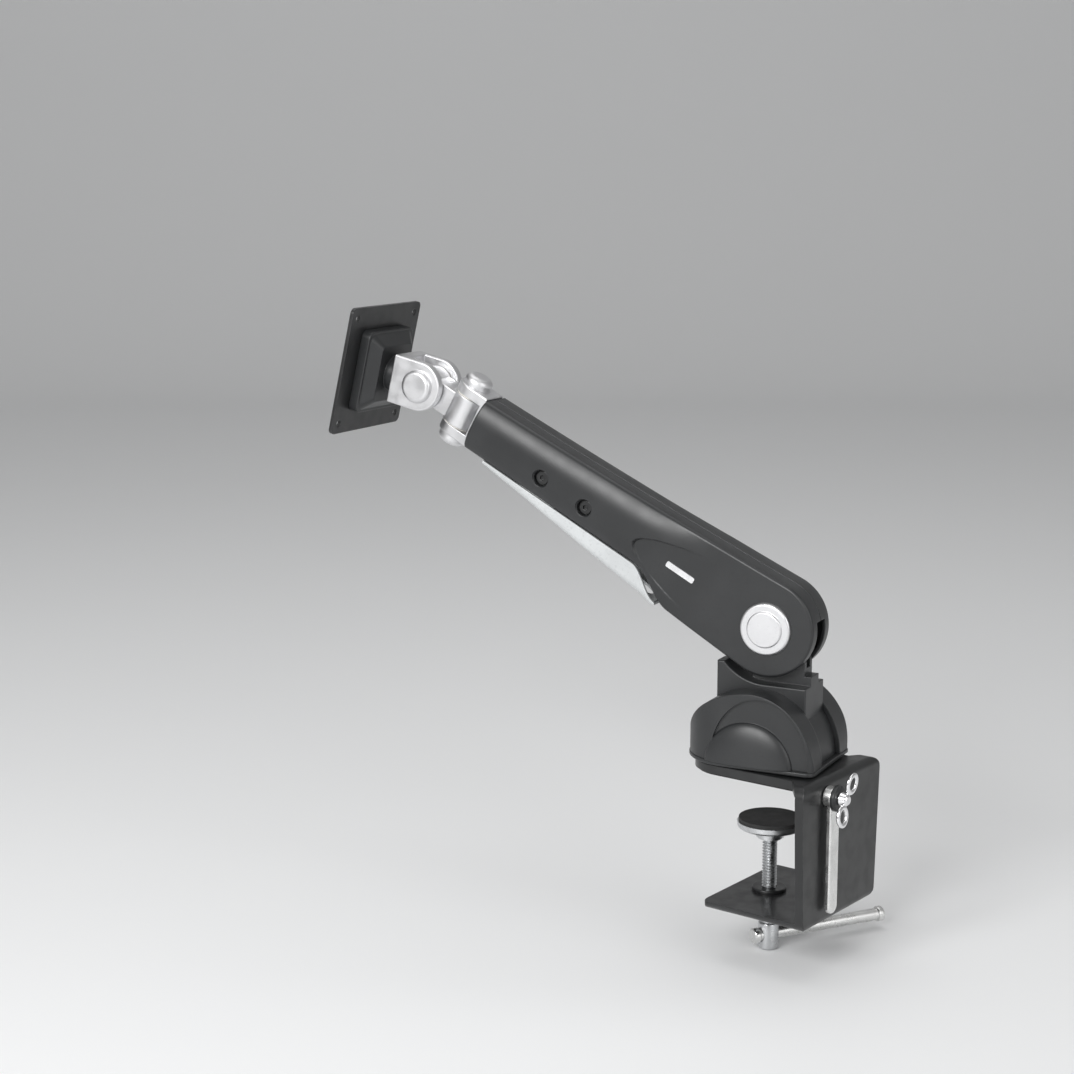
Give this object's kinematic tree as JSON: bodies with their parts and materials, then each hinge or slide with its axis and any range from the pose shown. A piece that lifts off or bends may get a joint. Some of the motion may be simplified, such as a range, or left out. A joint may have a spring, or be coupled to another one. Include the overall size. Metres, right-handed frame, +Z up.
{
  "type": "monitor arm",
  "caption": "Desk-clamped monitor arm: panning turret, gas-sprung lifting arm, swivel and tilt head, and a turning square plate for the screen.",
  "frame": {"origin": "on the pan axis, on the desk's top surface, which is the underside of the top jaw's pad", "axes": "+Z up along the pan axis, +X inward over the desk, +Y to the arm's left side, along the desk's edge"},
  "size_m": [0.3866, 0.1845, 0.4215],
  "materials": {
    "black_paint": "satin black powder coat",
    "black_plastic": "satin charcoal moulded plastic",
    "rubber": "matt black rubber",
    "zinc_steel": "zinc-plated steel",
    "bright_steel": "bright turned steel",
    "chrome": "polished chrome",
    "silver_metal": "bright satin die casting",
    "spar_metal": "as cast",
    "cover_grey": "light silver-grey plastic",
    "badge_metal": "satin",
    "nylon": "natural nylon",
    "bronze": "sintered bronze"
  },
  "bodies": {
    "clamp": {"clamp_frame": "black_paint", "jaw_bush": "black_paint", "top_jaw_pad": "rubber", "pan_spindle": "zinc_steel", "pan_friction_washer": "nylon", "pan_spring_washer": "zinc_steel", "pan_lock_nut": "zinc_steel"},
    "pressure_foot": {"pressure_pad": "rubber", "pressure_plate": "zinc_steel"},
    "clamp_screw": {"clamp_screw": "zinc_steel", "foot_retaining_ring": "zinc_steel"},
    "tommy_bar": {"tommy_bar": "bright_steel", "tommy_bar_caps": "bright_steel"},
    "cable_strap": {"cable_strap": "bright_steel"},
    "wing_screw": {"strap_wing_screw": "chrome", "strap_washer": "black_plastic"},
    "turret": {"turret_base": "black_plastic", "turret_screws": "zinc_steel", "turret_cheek_left": "black_plastic", "turret_cheek_right": "black_plastic", "yoke": "black_plastic", "lift_bushes": "bronze", "crank_pin": "zinc_steel"},
    "arm": {"arm_shell_left": "black_plastic", "arm_shell_right": "black_plastic", "shell_screws": "black_paint", "arm_spar": "spar_metal", "lift_pivot_bolt": "zinc_steel", "lift_pivot_nut": "zinc_steel", "pivot_cap_left": "silver_metal", "pivot_cap_right": "silver_metal", "badge": "badge_metal", "cable_cover": "cover_grey", "gas_spring_cylinder": "zinc_steel", "gas_spring_pin": "zinc_steel", "end_fork": "silver_metal", "fork_screws": "zinc_steel", "swivel_pin": "zinc_steel", "swivel_cap_top": "silver_metal", "swivel_cap_bottom": "silver_metal", "swivel_washers": "nylon"},
    "gas_rod": {"gas_spring_rod": "bright_steel"},
    "elbow": {"swivel_elbow": "silver_metal"},
    "clevis": {"tilt_clevis": "silver_metal", "tilt_pin": "zinc_steel", "tilt_washers": "nylon", "tilt_cap_left": "silver_metal", "tilt_cap_right": "silver_metal", "face_friction_washer": "nylon", "face_bolt": "zinc_steel", "face_spring_washer": "zinc_steel"},
    "face": {"face_hub": "black_plastic", "face_plate": "black_paint", "face_plate_screws": "zinc_steel"}
  },
  "joints": [
    {"name": "foot_travel", "type": "slide", "parent": "clamp", "child": "pressure_foot", "axis": [0, 0, 1], "range_m": [-0.028, 0.0157]},
    {"name": "screw_turn", "type": "hinge", "parent": "pressure_foot", "child": "clamp_screw", "pos_m": [0, 0, -0.06], "axis": [0, 0, 1], "range_deg": [-5040, 2790]},
    {"name": "bar_slide", "type": "slide", "parent": "clamp_screw", "child": "tommy_bar", "axis": [0.454, 0.891, 0], "range_m": [0, 0.078]},
    {"name": "strap_swing", "type": "hinge", "parent": "clamp", "child": "cable_strap", "pos_m": [-0.057, 0.019, -0.004], "axis": [-1, 0, 0], "range_deg": [-90, 90]},
    {"name": "wing_screw_turn", "type": "hinge", "parent": "clamp", "child": "wing_screw", "pos_m": [-0.062, 0.019, -0.004], "axis": [-1, 0, 0], "continuous": true},
    {"name": "pan", "type": "hinge", "parent": "clamp", "child": "turret", "pos_m": [0, 0, 0], "axis": [0, 0, 1], "range_deg": [-180, 180]},
    {"name": "lift", "type": "hinge", "parent": "turret", "child": "arm", "pos_m": [0, 0, 0.098], "axis": [0.1822, -0.9833, 0], "range_deg": [-8, 45]},
    {"name": "gas_rod_travel", "type": "slide", "parent": "arm", "child": "gas_rod", "axis": [0.8132, 0.1507, 0.5621], "range_m": [-0.012, 0.0045]},
    {"name": "swivel", "type": "hinge", "parent": "arm", "child": "elbow", "pos_m": [0.22641, 0.04196, 0.22715], "axis": [-0.4722, -0.0875, 0.8771], "range_deg": [-85, 85]},
    {"name": "tilt", "type": "hinge", "parent": "elbow", "child": "clevis", "pos_m": [0.25488, 0.04724, 0.24299], "axis": [0.1822, -0.9833, 0], "range_deg": [-60, 90]},
    {"name": "rotate", "type": "hinge", "parent": "clevis", "child": "face", "pos_m": [0.29937, 0.05548, 0.25369], "axis": [0.9569, 0.1773, 0.23], "continuous": true}
  ],
  "couplings": [
    {"joint": "foot_travel", "follows": "screw_turn", "m_per_rad": 0.00031831},
    {"joint": "gas_rod_travel", "follows": "lift", "m_per_rad": -0.0146}
  ]
}
